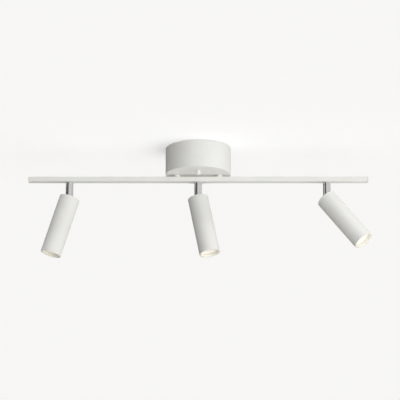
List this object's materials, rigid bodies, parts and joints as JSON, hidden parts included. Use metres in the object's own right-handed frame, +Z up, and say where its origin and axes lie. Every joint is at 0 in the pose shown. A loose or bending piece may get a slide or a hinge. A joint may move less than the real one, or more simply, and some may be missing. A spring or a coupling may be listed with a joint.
{
  "type": "track lighting fixture",
  "caption": "Ceiling light with a round canopy, a straight rectangular bar and adjustable cylinder spot heads on chrome swivel stems.",
  "frame": {"origin": "centre of the bracket's top face, where it meets the ceiling", "axes": "+Z up into the ceiling, +X along the bar towards the head that is swung out furthest, -Y towards the room side that the picture looks from"},
  "size_m": [0.701, 0.135, 0.2319],
  "materials": {
    "white_paint": "satin warm white powder coat",
    "chrome": "polished",
    "zinc": "zinc plated steel",
    "aluminium": "plain extruded aluminium",
    "nylon": "natural moulded nylon",
    "driver_plastic": "fine textured moulding",
    "lead_white": "smooth insulation",
    "board": "white solder mask",
    "lens": "clear moulded lens, lit warm white",
    "ring": "smooth white moulding",
    "bronze": "spring bronze"
  },
  "bodies": {
    "canopy_and_bar": {"ceiling_bracket": "zinc", "stud_front": "zinc", "stud_rear": "zinc", "cap_nut_front": "white_paint", "cap_nut_rear": "white_paint", "canopy": "white_paint", "terminal_block": "nylon", "earth_screw": "zinc", "led_driver": "driver_plastic", "spacer_left": "white_paint", "spacer_right": "white_paint", "hollow_bolt_left": "zinc", "hollow_bolt_right": "zinc", "bolt_nut_left": "zinc", "bolt_nut_right": "zinc", "bar": "white_paint", "bar_end_left": "white_paint", "bar_end_right": "white_paint", "swivel_bush_left": "nylon", "lead_left": "lead_white", "swivel_bush_middle": "nylon", "lead_middle": "lead_white", "swivel_bush_right": "nylon", "lead_right": "lead_white"},
    "stem_body_left": {"stem_left": "chrome", "swivel_nut_left": "zinc", "hinge_pin_left": "zinc", "friction_washer_left": "bronze"},
    "head_left": {"shade_left": "white_paint", "end_cap_left": "white_paint", "heat_sink_left": "aluminium", "led_board_left": "board", "lens_left": "lens", "trim_ring_left": "ring", "lamp_lead_left": "lead_white"},
    "stem_body_middle": {"stem_middle": "chrome", "swivel_nut_middle": "zinc", "hinge_pin_middle": "zinc", "friction_washer_middle": "bronze"},
    "head_middle": {"shade_middle": "white_paint", "end_cap_middle": "white_paint", "heat_sink_middle": "aluminium", "led_board_middle": "board", "lens_middle": "lens", "trim_ring_middle": "ring", "lamp_lead_middle": "lead_white"},
    "stem_body_right": {"stem_right": "chrome", "swivel_nut_right": "zinc", "hinge_pin_right": "zinc", "friction_washer_right": "bronze"},
    "head_right": {"shade_right": "white_paint", "end_cap_right": "white_paint", "heat_sink_right": "aluminium", "led_board_right": "board", "lens_right": "lens", "trim_ring_right": "ring", "lamp_lead_right": "lead_white"}
  },
  "joints": [
    {"name": "swivel_left", "type": "hinge", "parent": "canopy_and_bar", "child": "stem_body_left", "pos_m": [-0.265, 0, -0.09], "axis": [0, 0, 1], "range_deg": [-93.3, 246.7]},
    {"name": "tilt_left", "type": "hinge", "parent": "stem_body_left", "child": "head_left", "pos_m": [-0.265, 0, -0.1086], "axis": [-0.23, 0.9732, 0], "range_deg": [-72.1, 37.9]},
    {"name": "swivel_middle", "type": "hinge", "parent": "canopy_and_bar", "child": "stem_body_middle", "pos_m": [0, 0, -0.09], "axis": [0, 0, 1], "range_deg": [-220, 120]},
    {"name": "tilt_middle", "type": "hinge", "parent": "stem_body_middle", "child": "head_middle", "pos_m": [0, 0, -0.1086], "axis": [-0.6428, -0.766, 0], "range_deg": [-69.5, 40.5]},
    {"name": "swivel_right", "type": "hinge", "parent": "canopy_and_bar", "child": "stem_body_right", "pos_m": [0.265, 0, -0.09], "axis": [0, 0, 1], "range_deg": [-234.3, 105.7]},
    {"name": "tilt_right", "type": "hinge", "parent": "stem_body_right", "child": "head_right", "pos_m": [0.265, 0, -0.1086], "axis": [-0.4337, -0.9011, 0], "range_deg": [-93.8, 16.2]}
  ]
}
